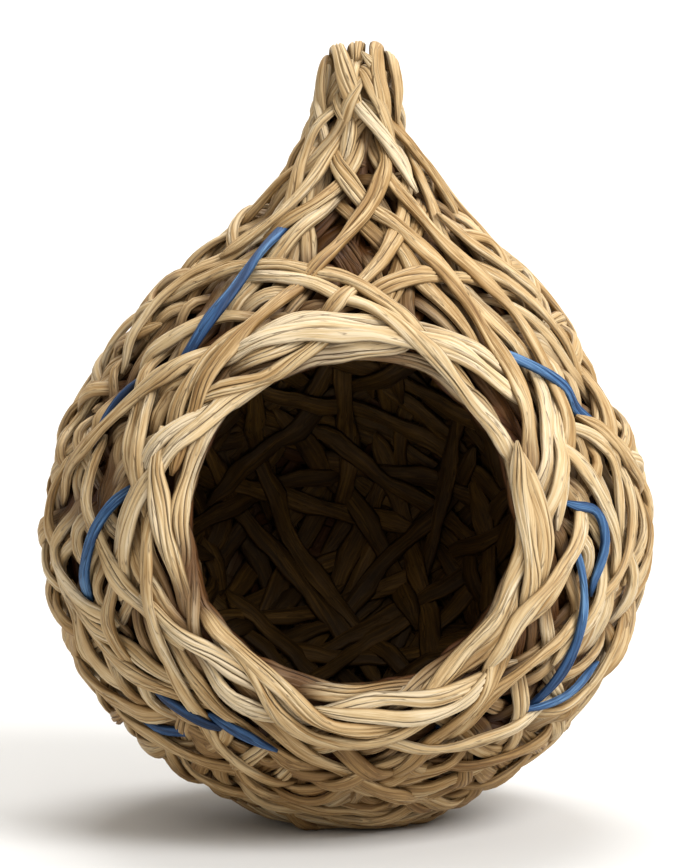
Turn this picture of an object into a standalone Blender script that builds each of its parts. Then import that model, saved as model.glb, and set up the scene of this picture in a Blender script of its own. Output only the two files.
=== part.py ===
"""Empty woven bird nest: a teardrop of plaited grass strands with a round entrance.

The nest stands on its flat base, +Z up, with the origin at the middle of the base.
The entrance faces -Y.  Every strand lies in the band between the outside of the nest
and the wall behind it, and passes over and under the strands that it crosses.
All lengths are in metres.
"""

import math

import bmesh
import bpy
from mathutils import Vector

MM = 0.001

# The outside of the nest: height and radius of the turned outline.
OUTLINE = [
    (0, 17), (3, 23), (6, 29), (10.5, 36), (15, 42), (28, 55), (42, 63), (55, 67),
    (68, 68), (84, 65.5), (101, 57), (118, 45), (131, 31.5), (143, 20), (154, 13),
    (165, 9.5), (176, 8),
]
NECK_LEAN = 2.7 * MM            # how far the neck stands off towards +X
LEAN_FROM = 100 * MM            # the neck starts to lean at this height
LEAN_TO = 150 * MM              # and stands straight again from here

# The entrance, a round hole in the front.
HOLE_HEIGHT = 69 * MM
HOLE_TILT = math.radians(6)     # its axis points up a little
RIM_RADIUS = 39.6 * MM          # middle of the plaited rim
PLAIT_RADIUS = 2.5 * MM         # each rim strand winds this far from that middle
PLAIT_TURNS = 5                 # whole turns of the plait in one round of the rim
RIM_STRAND = 3.6 * MM           # thickness of one rim strand
RIM_STRANDS = 3
RIM_DEPTH = 0.8 * MM            # middle of the plait below the outside of the nest
WALL_HOLE = 38.6 * MM           # radius of the hole in the wall behind the rim

# The wall, which stands for the close inner weave.
WALL_DEPTH = 5.3 * MM           # its outer face below the outside of the nest
WALL_THICKNESS = 3.0 * MM
WALL_BASE = 17 * MM             # radius of the flat base that the nest stands on
WALL_FOOT = [(22 * MM, 2.6 * MM), (24.6 * MM, 6 * MM)]      # radius and height above it
WALL_TOP = 165 * MM
CAVITY_TOP = 136 * MM
WALL_SIDES = 40

# The outer weave: strands leaning left and right on the wall.
WEAVE_STRANDS = 8               # in each direction, an even number
WEAVE_LEAN = math.radians(43)   # from upright
WEAVE_FOOT = 7 * MM             # height of the lowest ends
WEAVE_HEAD = 127 * MM           # height of the highest ends
WEAVE_DEPTH = 2.45 * MM         # middle of the weave below the outside of the nest
WEAVE_SWING = 1.5 * MM          # how far a strand rises and dips at a crossing
STRAND_WIDTH = 4.2 * MM
STRAND_THICKNESS = 1.5 * MM
STRAND_STEP = 9.5 * MM          # length of one straight stretch of a strand
SHORTEST = 24 * MM              # shorter left-overs beside the entrance are left out
CLEAR_OF_RIM = 46.5 * MM        # strands end this far from the entrance axis

# The dyed strands, between two strands of the weave and on top of it.
DYED_WIDTH = 2.4 * MM
DYED_THICKNESS = 0.9 * MM
DYED_DEPTH = 0.65 * MM

# The neck: strands that lie on its wall, and three that loop over its top.
NECK_WIDTH = 3.6 * MM
NECK_THICKNESS = 1.6 * MM
NECK_DEPTH = 3.9 * MM           # middle of a neck strand below the outside of the nest
NECK_HEIGHTS = [131 * MM, 137 * MM, 143 * MM, 149 * MM, 155 * MM, 160 * MM]
NECK_ANGLES = [55, 90, 125, -55, -90, -125]     # of the strands between the loops
LOOP_FOOT_ANGLE = 22            # the outer loops' legs stand this far from the middle
LOOP_SPACING = 4.7 * MM
LOOP_REACH = 6.4 * MM           # half the distance between a loop's two legs
LOOP_TOP = 175.5 * MM
LOOP_TOP_DROP = 1.5 * MM        # the outer loops are this much lower

STRAND_SIDES = 6


def clear_scene():
    for thing in list(bpy.data.objects):
        bpy.data.objects.remove(thing, do_unlink=True)


def material(name, colour, roughness):
    mat = bpy.data.materials.new(name)
    mat.use_nodes = True
    shader = mat.node_tree.nodes["Principled BSDF"]
    shader.inputs["Base Color"].default_value = (*colour, 1.0)
    shader.inputs["Roughness"].default_value = roughness
    shader.inputs["Metallic"].default_value = 0.0
    mat.diffuse_color = (*colour, 1.0)
    return mat


def smooth_step(value):
    value = min(1.0, max(0.0, value))
    return value * value * (3.0 - 2.0 * value)


def outline_slopes():
    """Slopes of a monotone cubic through the outline, as in Fritsch and Carlson."""
    rise = []
    for (z0, r0), (z1, r1) in zip(OUTLINE, OUTLINE[1:]):
        rise.append((r1 - r0) / (z1 - z0))
    slopes = [rise[0]]
    for before, after in zip(rise, rise[1:]):
        if before * after <= 0:
            slopes.append(0.0)
        else:
            slopes.append(2.0 * before * after / (before + after))
    slopes.append(rise[-1])
    return slopes


SLOPES = outline_slopes()


def outline_radius(height):
    """Radius of the outside of the nest at a height."""
    z = min(OUTLINE[-1][0], max(OUTLINE[0][0], height / MM))
    for index in range(len(OUTLINE) - 1):
        z0, r0 = OUTLINE[index]
        z1, r1 = OUTLINE[index + 1]
        if z <= z1:
            break
    span = z1 - z0
    t = (z - z0) / span
    value = (
        r0 * (1 + 2 * t) * (1 - t) ** 2
        + SLOPES[index] * span * t * (1 - t) ** 2
        + r1 * t * t * (3 - 2 * t)
        + SLOPES[index + 1] * span * t * t * (t - 1)
    )
    return value * MM


def lean(height):
    """How far the middle of the nest is off to +X at a height."""
    return NECK_LEAN * smooth_step((height - LEAN_FROM) / (LEAN_TO - LEAN_FROM))


def normal_at(angle, height):
    """Outward direction at an angle round from -Y towards +X and a height."""
    step = 0.5 * MM
    low = outline_radius(height - step)
    high = outline_radius(height + step)
    out = Vector((2 * step, low - high)).normalized()
    return Vector((math.sin(angle) * out.x, -math.cos(angle) * out.x, out.y))


def nest_point(angle, height, depth):
    """Point at a depth below the outside of the nest."""
    radius = outline_radius(height)
    point = Vector((
        lean(height) + radius * math.sin(angle), -radius * math.cos(angle), height,
    ))
    return point - normal_at(angle, height) * depth


def add_object(name, mesh, mat):
    mesh.materials.clear()
    mesh.materials.append(mat)
    mesh.shade_smooth()
    mesh.set_sharp_from_angle(angle=math.radians(45))
    thing = bpy.data.objects.new(name, mesh)
    bpy.context.scene.collection.objects.link(thing)
    return thing


def sweep(name, path, outwards, width, thickness, mat, closed=False):
    """A strand: an oval section carried along a path, wide across its outward side."""
    count = len(path)
    bm = bmesh.new()
    rings = []
    for index, point in enumerate(path):
        if closed:
            along = path[(index + 1) % count] - path[index - 1]
            size = 1.0
        else:
            along = path[min(index + 1, count - 1)] - path[max(index - 1, 0)]
            size = 0.55 if index in (0, count - 1) else 1.0
        along.normalize()
        out = outwards[index] - along * outwards[index].dot(along)
        out.normalize()
        across = along.cross(out)
        ring = []
        for side in range(STRAND_SIDES):
            turn = 2 * math.pi * side / STRAND_SIDES
            offset = across * (math.cos(turn) * width / 2 * size)
            offset += out * (math.sin(turn) * thickness / math.sqrt(3) * size)
            ring.append(bm.verts.new(point + offset))
        rings.append(ring)
    pairs = list(zip(rings, rings[1:]))
    if closed:
        pairs.append((rings[-1], rings[0]))
    for ring, following in pairs:
        for side in range(STRAND_SIDES):
            after = (side + 1) % STRAND_SIDES
            bm.faces.new((ring[side], ring[after], following[after], following[side]))
    if not closed:
        bm.faces.new(list(reversed(rings[0])))
        bm.faces.new(rings[-1])
    bmesh.ops.recalc_face_normals(bm, faces=bm.faces)
    bmesh.ops.triangulate(bm, faces=bm.faces)
    mesh = bpy.data.meshes.new(name)
    bm.to_mesh(mesh)
    bm.free()
    return add_object(name, mesh, mat)


def turned(name, profile, sides, mat):
    """A closed turned body; the profile runs from the bottom of the axis to its top."""
    bm = bmesh.new()
    rings = []
    for radius, height in profile[1:-1]:
        ring = []
        for side in range(sides):
            angle = 2 * math.pi * side / sides
            ring.append(bm.verts.new((
                lean(height) + radius * math.sin(angle), -radius * math.cos(angle), height,
            )))
        rings.append(ring)
    bottom = bm.verts.new((lean(profile[0][1]), 0, profile[0][1]))
    top = bm.verts.new((lean(profile[-1][1]), 0, profile[-1][1]))
    for side in range(sides):
        after = (side + 1) % sides
        bm.faces.new((bottom, rings[0][after], rings[0][side]))
        bm.faces.new((top, rings[-1][side], rings[-1][after]))
        for ring, following in zip(rings, rings[1:]):
            bm.faces.new((ring[side], ring[after], following[after], following[side]))
    bmesh.ops.recalc_face_normals(bm, faces=bm.faces)
    mesh = bpy.data.meshes.new(name)
    bm.to_mesh(mesh)
    bm.free()
    return add_object(name, mesh, mat)


def wall_profile(depth, base_radius, base_height, foot, top, heights):
    """Radius and height from the bottom of the axis to its top, at a depth."""
    profile = [(0.0, base_height), (base_radius, base_height)] + foot
    for height in heights:
        point = nest_point(0.0, height, depth)
        if point.z > base_height + 1.5 * MM:
            profile.append((-point.y, point.z))
    profile = [point for point in profile if point[1] < top - 1 * MM]
    profile.append((profile[-1][0] * 0.55, top - 0.8 * MM))
    profile.append((0.0, top))
    return profile


def hole_axis():
    return Vector((0.0, -math.cos(HOLE_TILT), math.sin(HOLE_TILT)))


def off_hole_axis(point):
    """Distance of a point from the entrance axis; points behind it count as far."""
    axis = hole_axis()
    centre = Vector((0, 0, HOLE_HEIGHT))
    along = (point - centre).dot(axis)
    if along < 0:
        return 1.0
    return (point - centre - axis * along).length


def make_wall(mat):
    heights = [
        z * MM for z in (5, 12, 20, 30, 42, 55, 68, 82, 96, 108, 118, 127, 135, 144, 154)
    ]
    outer = turned(
        "woven_wall",
        wall_profile(WALL_DEPTH, WALL_BASE, 0.0, WALL_FOOT, WALL_TOP, heights),
        WALL_SIDES, mat,
    )
    inner_depth = WALL_DEPTH + WALL_THICKNESS
    inner = turned(
        "cavity_cutter",
        wall_profile(
            inner_depth, WALL_BASE * 0.9, WALL_THICKNESS, [], CAVITY_TOP, heights[1:12],
        ),
        WALL_SIDES, mat,
    )
    bm = bmesh.new()
    bmesh.ops.create_cone(
        bm, cap_ends=True, segments=WALL_SIDES, radius1=WALL_HOLE, radius2=WALL_HOLE,
        depth=90 * MM,
    )
    mesh = bpy.data.meshes.new("entrance_cutter")
    bm.to_mesh(mesh)
    bm.free()
    entrance = add_object("entrance_cutter", mesh, mat)
    entrance.rotation_euler = (math.radians(90) - HOLE_TILT, 0, 0)
    entrance.location = Vector((0, 0, HOLE_HEIGHT)) + hole_axis() * 75 * MM
    for cutter in (inner, entrance):
        cutter.hide_render = True
        cutter.display_type = "WIRE"
        cut = outer.modifiers.new(cutter.name, "BOOLEAN")
        cut.operation = "DIFFERENCE"
        cut.object = cutter


def weave_table():
    """Heights from foot to head, with how far round a leaning strand has gone."""
    table = [(WEAVE_FOOT, 0.0)]
    step = 0.5 * MM
    height = WEAVE_FOOT
    angle = 0.0
    while height < WEAVE_HEAD - step / 2:
        slope = (outline_radius(height + step) - outline_radius(height)) / step
        length = step * math.hypot(1.0, slope)
        angle += length * math.tan(WEAVE_LEAN) / outline_radius(height + step / 2)
        height += step
        table.append((height, angle))
    return table


WEAVE = weave_table()
SPACING = 2 * math.pi / WEAVE_STRANDS


def weave_point(index, hand, place):
    """Point of a weave strand.

    A strand that leans by hand * turned from its starting angle crosses strand j of
    the other hand where 2 * turned / SPACING is a whole number.  It rises and dips
    with the cosine of that count, and the other hand with minus the cosine, so that
    one is over wherever the other is under.
    """
    height, turned_by = WEAVE[place]
    angle = (index + 0.5) * SPACING + hand * turned_by
    count = index + hand * 2.0 * turned_by / SPACING
    swing = hand * math.cos(math.pi * (index + count)) * WEAVE_SWING
    depth = WEAVE_DEPTH - swing
    return nest_point(angle, height, depth), normal_at(angle, height)


def stretches(index, hand):
    """Runs of table places where a strand is clear of the entrance."""
    runs = []
    run = []
    for place, (height, turned_by) in enumerate(WEAVE):
        angle = (index + 0.5) * SPACING + hand * turned_by
        if off_hole_axis(nest_point(angle, height, WEAVE_DEPTH)) > CLEAR_OF_RIM:
            run.append(place)
        elif run:
            runs.append(run)
            run = []
    runs.append(run)
    return [run for run in runs if len(run) > 1]


def spread(points, outwards, step):
    """Evenly spaced points along a fine path, with their outward directions."""
    lengths = [0.0]
    for before, after in zip(points, points[1:]):
        lengths.append(lengths[-1] + (after - before).length)
    pieces = max(2, round(lengths[-1] / step))
    chosen = []
    place = 0
    for number in range(pieces + 1):
        target = lengths[-1] * number / pieces
        while place < len(lengths) - 2 and lengths[place + 1] < target:
            place += 1
        span = lengths[place + 1] - lengths[place]
        share = (target - lengths[place]) / span
        point = points[place].lerp(points[place + 1], share)
        chosen.append((point, outwards[place]))
    return [pair[0] for pair in chosen], [pair[1] for pair in chosen], lengths[-1]


def make_weave(mats):
    for hand, word in ((1, "left"), (-1, "right")):
        number = 0
        for index in range(WEAVE_STRANDS):
            for run in stretches(index, hand):
                pairs = [weave_point(index, hand, place) for place in run]
                points = [pair[0] for pair in pairs]
                outwards = [pair[1] for pair in pairs]
                path, outs, length = spread(points, outwards, STRAND_STEP)
                if length < SHORTEST:
                    continue
                number += 1
                sweep(
                    f"strand_leaning_{word}_{number:02d}", path, outs,
                    STRAND_WIDTH, STRAND_THICKNESS, mats[number % len(mats)],
                )


# Dyed strands: index of the weave strand that each lies beside, which way it leans,
# and the heights of its two ends.
DYED = [
    ("shoulder_left", 4, 1, 96, 126),
    ("shoulder_right", 4, -1, 84, 118),
    ("side_left", 5, 1, 40, 74),
    ("side_right", 3, -1, 24, 72),
    ("low_left", 7, -1, 12, 34),
    ("low_right", 0, 1, 12, 34),
    ("back_left", 3, 1, 30, 66),
    ("back_right", 5, -1, 60, 98),
]


def make_dyed(mat):
    for place_name, index, hand, low, high in DYED:
        points = []
        outwards = []
        for height, turned_by in WEAVE:
            angle = index * SPACING + hand * turned_by
            point = nest_point(angle, height, DYED_DEPTH)
            if low * MM <= height <= high * MM and off_hole_axis(point) > CLEAR_OF_RIM:
                points.append(point)
                outwards.append(normal_at(angle, height))
        path, outs, _ = spread(points, outwards, STRAND_STEP)
        sweep(f"dyed_strand_{place_name}", path, outs, DYED_WIDTH, DYED_THICKNESS, mat)


def rim_centre(angle):
    """Point of the rim's middle line, an angle round from +X, and its two sides."""
    axis = hole_axis()
    side = Vector((1, 0, 0))
    up = side.cross(axis) * -1
    outward = side * math.cos(angle) + up * math.sin(angle)
    start = Vector((0, 0, HOLE_HEIGHT)) + outward * RIM_RADIUS
    low = 0.0
    high = 90 * MM
    for _ in range(30):
        middle = (low + high) / 2
        point = start + axis * middle
        off_axis = math.hypot(point.x - lean(point.z), point.y)
        if off_axis < outline_radius(point.z):
            low = middle
        else:
            high = middle
    point = start + axis * low
    around = math.atan2(point.x - lean(point.z), -point.y)
    out = normal_at(around, point.z)
    return point - out * RIM_DEPTH, out


def make_rim(mats):
    pieces = 44
    for strand in range(RIM_STRANDS):
        path = []
        outwards = []
        for number in range(pieces):
            angle = 2 * math.pi * number / pieces
            centre, out = rim_centre(angle)
            before, _ = rim_centre(angle - 0.02)
            after, _ = rim_centre(angle + 0.02)
            along = (after - before).normalized()
            across = along.cross(out).normalized()
            out = across.cross(along)
            wind = PLAIT_TURNS * angle + 2 * math.pi * strand / RIM_STRANDS
            offset = across * math.cos(wind) + out * math.sin(wind)
            path.append(centre + offset * PLAIT_RADIUS)
            outwards.append(offset)
        sweep(
            f"rim_strand_{strand + 1}", path, outwards, RIM_STRAND, RIM_STRAND * 0.87,
            mats[strand % len(mats)], closed=True,
        )


def neck_leg(angle_low, across, side):
    """Legs of a loop: up the neck's wall, from an angle to a distance off the middle."""
    path = []
    outwards = []
    for height in NECK_HEIGHTS:
        share = smooth_step((height - NECK_HEIGHTS[0]) / (NECK_HEIGHTS[-1] - NECK_HEIGHTS[0]))
        radius = outline_radius(height) - NECK_DEPTH
        angle_high = math.asin(max(-1.0, min(1.0, across / radius)))
        angle = angle_low * (1 - share) + angle_high * share
        if side > 0:
            angle = math.pi - angle
        path.append(nest_point(angle, height, NECK_DEPTH))
        outwards.append(normal_at(angle, height))
    return path, outwards


def make_neck(mats):
    for number, place in enumerate((-1, 0, 1)):
        across = place * LOOP_SPACING
        top = LOOP_TOP - abs(place) * LOOP_TOP_DROP
        angle_low = math.radians(place * LOOP_FOOT_ANGLE)
        front, front_out = neck_leg(angle_low, across, -1)
        back, back_out = neck_leg(angle_low, across, 1)
        arc = []
        arc_out = []
        middle = Vector((NECK_LEAN + across, 0, top - NECK_THICKNESS / 2 - LOOP_REACH))
        for step in range(9):
            angle = math.pi * step / 8
            out = Vector((0, -math.cos(angle), math.sin(angle)))
            arc.append(middle + out * LOOP_REACH)
            arc_out.append(out)
        sweep(
            f"crown_loop_{number + 1}", front + arc + back[::-1],
            front_out + arc_out + back_out[::-1],
            NECK_WIDTH, NECK_THICKNESS, mats[number % len(mats)],
        )
    for number, degrees in enumerate(NECK_ANGLES):
        angle = math.radians(degrees)
        path = [nest_point(angle, height, NECK_DEPTH) for height in NECK_HEIGHTS[:5]]
        outs = [normal_at(angle, height) for height in NECK_HEIGHTS[:5]]
        sweep(
            f"neck_strand_{number + 1}", path, outs, NECK_WIDTH, NECK_THICKNESS,
            mats[number % len(mats)],
        )


def main():
    clear_scene()
    straw = material("dry_grass_straw", (0.52, 0.36, 0.17), 0.55)
    pale = material("dry_grass_pale", (0.62, 0.46, 0.25), 0.55)
    dull = material("dry_grass_dull", (0.40, 0.27, 0.13), 0.6)
    inner = material("inner_weave_brown", (0.22, 0.13, 0.06), 0.75)
    blue = material("dyed_strand_blue", (0.05, 0.13, 0.33), 0.5)
    make_wall(inner)
    make_weave((straw, pale, dull))
    make_rim((pale, straw, dull))
    make_neck((straw, pale, dull))
    make_dyed(blue)


main()
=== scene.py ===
"""Looks of an empty woven nest: every strand of dry grass as its own grooved strip.

A strand is a route on the teardrop (angle round from the entrance side, way up the
outline), a depth below the outside that is settled so that strands lie over and under
each other, and a flattened, lobed section carried along the route.  Metres in the
finished meshes, millimetres while the routes are worked out.
"""
import math

import bpy
import numpy as np
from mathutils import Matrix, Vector


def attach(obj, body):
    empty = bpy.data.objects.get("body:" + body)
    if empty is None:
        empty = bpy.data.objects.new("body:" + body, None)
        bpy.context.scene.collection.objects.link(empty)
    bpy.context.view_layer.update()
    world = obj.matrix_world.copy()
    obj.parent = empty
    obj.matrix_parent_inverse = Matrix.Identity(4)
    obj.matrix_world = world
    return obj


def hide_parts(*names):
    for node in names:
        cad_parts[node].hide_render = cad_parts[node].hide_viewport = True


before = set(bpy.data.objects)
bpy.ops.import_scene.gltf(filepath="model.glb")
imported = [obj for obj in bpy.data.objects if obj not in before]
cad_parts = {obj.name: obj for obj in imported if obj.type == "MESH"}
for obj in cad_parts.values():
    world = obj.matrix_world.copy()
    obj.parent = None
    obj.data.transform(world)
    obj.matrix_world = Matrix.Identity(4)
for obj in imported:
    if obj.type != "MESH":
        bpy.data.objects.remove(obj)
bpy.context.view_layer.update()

MM = 0.001
DRAW = np.random.default_rng(20)

# ---------------------------------------------------------------- sizes, in mm
# Height and radius of the outside of the nest, as in the part.
OUTLINE = [
    (0, 17), (3, 23), (6, 29), (10.5, 36), (15, 42), (28, 55), (42, 63), (55, 67),
    (68, 68), (84, 65.5), (101, 57), (118, 45), (131, 31.5), (143, 20), (154, 13),
    (165, 9.5), (176, 8),
]
NECK_LEAN = 2.7
LEAN_FROM = 100
LEAN_TO = 150
HOLE_HEIGHT = 67.8              # a little lower than the part's entrance
HOLE_TILT = math.radians(6)
HOLE_SIDE = 1.4                 # the entrance is a little to the right of the middle
HOLE_RADIUS = 35.2              # of the clear opening
LIP = 5.0                       # radius of the rim's rounded edge
LIP_OFF = 38.0                  # where, off the entrance axis, the rim turns straight in
SWELL = 1.2                     # height of the swelling round the rim
SWELL_OFF = 6.0                 # of its crest, from where the rim turns in
SWELL_WIDE = 5.0

STEP = 2.0                      # length of one stretch of a strand
HALF_WIDTH = 2.05
HALF_THICK = 1.12
INSET = 1.0                     # strands lie this much deeper above the belly
INSET_FROM = 56                 # height where that begins
INSET_OVER = 34                 # height over which it grows
LEVELS = (0.6, 1.9, 3.4)        # depths: on top, among the others, under them
DYED_LIFT = 1.4                 # dyed strands lie this much nearer the outside
CROWN_ROOM = 9.0                # way left free at the top, under the crown's loops
PATCH = 4.0                     # side of a patch of the cover
SPREAD_REACH = 4.6              # strands nearer than this push each other sideways
CROSS_REACH = 4.4               # strands nearer than this may cross
LOWEST = 0.05                   # no strand goes below this height over the floor


# ---------------------------------------------------------------- the teardrop
def monotone_curve(points, at):
    """Cubic through points that never overshoots: harmonic mean of neighbour slopes."""
    z, r = np.array(points, float).T
    gap = np.diff(z)
    rise = np.diff(r) / gap
    slope = np.empty(len(z))
    slope[0], slope[-1] = rise[0], rise[-1]
    product = rise[:-1] * rise[1:]
    total = np.where(product > 0, rise[:-1] + rise[1:], 1.0)
    slope[1:-1] = np.where(product > 0, 2 * product / total, 0.0)
    i = np.clip(np.searchsorted(z, at, side="right") - 1, 0, len(z) - 2)
    t = (at - z[i]) / gap[i]
    return (
        r[i] * (1 + 2 * t) * (1 - t) ** 2 + slope[i] * gap[i] * t * (1 - t) ** 2
        + r[i + 1] * t * t * (3 - 2 * t) + slope[i + 1] * gap[i] * t * t * (t - 1)
    )


def meridian():
    """Way up the outline from the middle of the base: length, radius, height, normal."""
    top = OUTLINE[-1][0]
    side_z = np.arange(0.0, top + 0.01, 0.25)
    side_r = monotone_curve(OUTLINE, side_z)
    base_r = np.arange(0.0, side_r[0], 0.25)
    top_r = np.arange(side_r[-1], 0.0, -0.25)
    r = np.concatenate([base_r, side_r, top_r])
    z = np.concatenate([0 * base_r, side_z, 0 * top_r + top])
    keep = np.concatenate([[True], np.hypot(np.diff(r), np.diff(z)) > 1e-6])
    r, z = r[keep], z[keep]
    way = np.concatenate([[0.0], np.cumsum(np.hypot(np.diff(r), np.diff(z)))])
    reach = np.arange(-16, 17)
    weight = np.exp(-((reach / 8.0) ** 2))
    weight /= weight.sum()
    dr = np.convolve(np.pad(np.gradient(r, way), 16, mode="edge"), weight, "valid")
    dz = np.convolve(np.pad(np.gradient(z, way), 16, mode="edge"), weight, "valid")
    size = np.hypot(dr, dz)
    return way, r, z, dz / size, -dr / size


WAY, WAY_R, WAY_Z, WAY_OUT, WAY_UP = meridian()
WAY_LENGTH = WAY[-1]
SIDE_FROM = np.argmax(WAY_Z > 0.01)
WAY_TOP = WAY_LENGTH - 14.5     # free strands end here, under the crown


def way_of_height(z):
    """Way up the outline at a height, on the side of the nest."""
    return np.interp(z, WAY_Z[SIDE_FROM:], WAY[SIDE_FROM:])


def smooth_step(value):
    """0 below 0, 1 above 1, and 3 v^2 - 2 v^3 between them."""
    value = np.clip(value, 0.0, 1.0)
    return value * value * (3.0 - 2.0 * value)


def lean(z):
    """How far the neck's middle has moved to the right at a height."""
    return NECK_LEAN * smooth_step((z - LEAN_FROM) / (LEAN_TO - LEAN_FROM))


HOLE_AXIS = np.array([0.0, -math.cos(HOLE_TILT), math.sin(HOLE_TILT)])
HOLE_MIDDLE = np.array([HOLE_SIDE, 0.0, HOLE_HEIGHT])


def off_hole(points):
    """Distance from the entrance axis; what lies behind the middle counts as far."""
    arm = points - HOLE_MIDDLE
    along = arm @ HOLE_AXIS
    off = np.linalg.norm(arm - along[:, None] * HOLE_AXIS, axis=1)
    return np.where(along > 0, off, 200.0)


def skin(angle, way, depth):
    """Points at a depth below the plain teardrop, and the outward direction there."""
    r = np.interp(way, WAY, WAY_R)
    z = np.interp(way, WAY, WAY_Z)
    out = np.interp(way, WAY, WAY_OUT)
    up = np.interp(way, WAY, WAY_UP)
    normal = np.stack([out * np.sin(angle), -out * np.cos(angle), up], axis=1)
    middle = np.stack([lean(z) + r * np.sin(angle), -r * np.cos(angle), z], axis=1)
    return middle - normal * np.asarray(depth)[..., None], normal


def lip_depth(off):
    """How far the surface turns in at the entrance's rounded rim, and swells round it.

    The turn is a quarter circle, radius - root of (radius^2 - way into it^2); the swelling
    is a bell curve of the distance off the entrance axis.
    """
    into = np.clip(LIP_OFF + LIP - off, 0.0, LIP * 0.98)
    turn = LIP - np.sqrt(LIP ** 2 - into ** 2)
    swell = SWELL * np.exp(-(((off - LIP_OFF - SWELL_OFF) / SWELL_WIDE) ** 2))
    return turn - swell


def place(angle, way, depth):
    """Points of the nest, with the rim's rounding added to the teardrop.

    Where the depth of the lip changes with the distance off the entrance axis, the
    outward direction leans by that slope towards the axis.
    """
    flat, normal = skin(angle, way, 0.0 * angle)
    off = off_hole(flat)
    total = depth + lip_depth(off)
    total = total + INSET * smooth_step((flat[:, 2] - INSET_FROM) / INSET_OVER)
    points = flat - normal * total[:, None]
    steep = np.clip((lip_depth(off + 0.2) - lip_depth(off - 0.2)) / 0.4, -2.5, 2.5)
    arm = flat - HOLE_MIDDLE
    arm = arm - (arm @ HOLE_AXIS)[:, None] * HOLE_AXIS
    arm = arm / np.maximum(np.linalg.norm(arm, axis=1), 1e-6)[:, None]
    arm = arm - (arm * normal).sum(axis=1)[:, None] * normal
    tilted = normal + arm * steep[:, None]
    return points, tilted / np.linalg.norm(tilted, axis=1)[:, None]


# ---------------------------------------------------------------- routes of single strands
# Each strand: at which depth it lies (0 on top, 1 among the others, 2 under them), then
# points of (degrees round from the front, height in mm).  The strands were traced by eye;
# a separate script, not handed in, laid the tracings on the teardrop, left out needless
# points and rounded the rest.  The last two dyed strands lie where the part has them.
SHOULDER_ROUTES = [
    (0, (-91, 110), (-69, 121), (-46, 127), (-30, 128), (-6, 126), (10, 120), (24, 108)),
    (0, (-33, 126), (-19, 126), (-7, 124), (13, 116), (23, 108), (29, 92)),
    (1, (72, 119), (50, 125), (14, 125), (-2, 121), (-25, 109)),
    (1, (-10, 115), (-21, 110), (-28, 108)),
    (0, (25, 152), (-20, 124), (-32, 107), (-35, 91)),
    (1, (-24, 119), (-34, 110), (-37, 94)),
    (0, (33, 141), (16, 132), (-2, 121)),
    (0, (-8, 150), (-23, 142), (-42, 137)),
    (1, (-17, 142), (-34, 131), (-38, 117)),
    (0, (-27, 152), (6, 141), (30, 130), (39, 111), (41, 102), (39, 84)),
    (1, (-9, 143), (11, 136), (19, 133)),
    (1, (18, 133), (30, 120), (35, 110)),
    (0, (26, 150), (55, 111), (53, 97), (47, 85)),
    (1, (-51, 121), (-56, 111), (-53, 99), (-50, 92), (-42, 77)),
    (1, (-61, 103), (-51, 112), (-33, 118), (-12, 118)),
    (2, (-35, 120), (-28, 123), (-20, 124)),
    (2, (-20, 119), (-10, 122), (-4, 122)),
    (2, (-8, 134), (-2, 131), (3, 127)),
    (2, (-5, 136), (1, 133), (6, 129)),
    (1, (91, 117), (90, 112), (68, 92)),
    (1, (78, 101), (83, 88), (77, 84)),
    (1, (58, 93), (65, 89), (75, 79)),
]
RIM_ROUTES = [
    (0, (-22, 112), (-13, 116), (0, 116), (25, 113), (37, 106)),
    (0, (-25, 109), (-17, 112), (-5, 114), (23, 111), (37, 102)),
    (1, (8, 111), (-4, 110), (-16, 106)),
    (1, (-16, 110), (-29, 105), (-31, 98)),
    (0, (-9, 112), (-19, 106), (-28, 102)),
    (0, (-19, 105), (-39, 89), (-47, 69), (-48, 61)),
    (0, (-17, 105), (-39, 84), (-47, 63)),
    (1, (-25, 96), (-29, 83), (-32, 61)),
    (1, (-28, 96), (-29, 85), (-33, 76)),
    (0, (-37, 87), (-34, 74), (-32, 60)),
    (0, (-37, 73), (-38, 60), (-36, 43), (-31, 20), (-22, 13)),
    (1, (-36, 67), (-31, 55), (-27, 48)),
    (1, (-29, 70), (-30, 58), (-30, 50)),
    (1, (-28, 60), (-24, 47), (-20, 40)),
    (2, (-28, 56), (-26, 48), (-24, 42)),
    (0, (-23, 52), (-10, 37), (-3, 31), (9, 30)),
    (0, (-22, 47), (-5, 28), (4, 27), (14, 31)),
    (0, (-34, 54), (-23, 44), (-12, 34)),
    (1, (-31, 47), (-21, 34), (-10, 31)),
    (0, (0, 34), (19, 37), (30, 40)),
    (0, (0, 33), (17, 32), (26, 36), (30, 40)),
    (1, (-9, 37), (6, 40), (13, 39)),
    (2, (-8, 35), (1, 37), (8, 37)),
    (1, (-15, 44), (-5, 41), (5, 40)),
    (1, (19, 45), (9, 42), (4, 41)),
    (0, (36, 84), (35, 69), (35, 59)),
    (0, (38, 83), (40, 71), (40, 62)),
    (1, (32, 86), (33, 77), (29, 61), (24, 52)),
    (0, (34, 72), (26, 51), (17, 38)),
    (1, (34, 66), (28, 46), (20, 39)),
    (1, (12, 37), (19, 45), (26, 53)),
    (1, (51, 100), (49, 93), (44, 79)),
    (1, (45, 82), (42, 74), (40, 66)),
]
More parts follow.
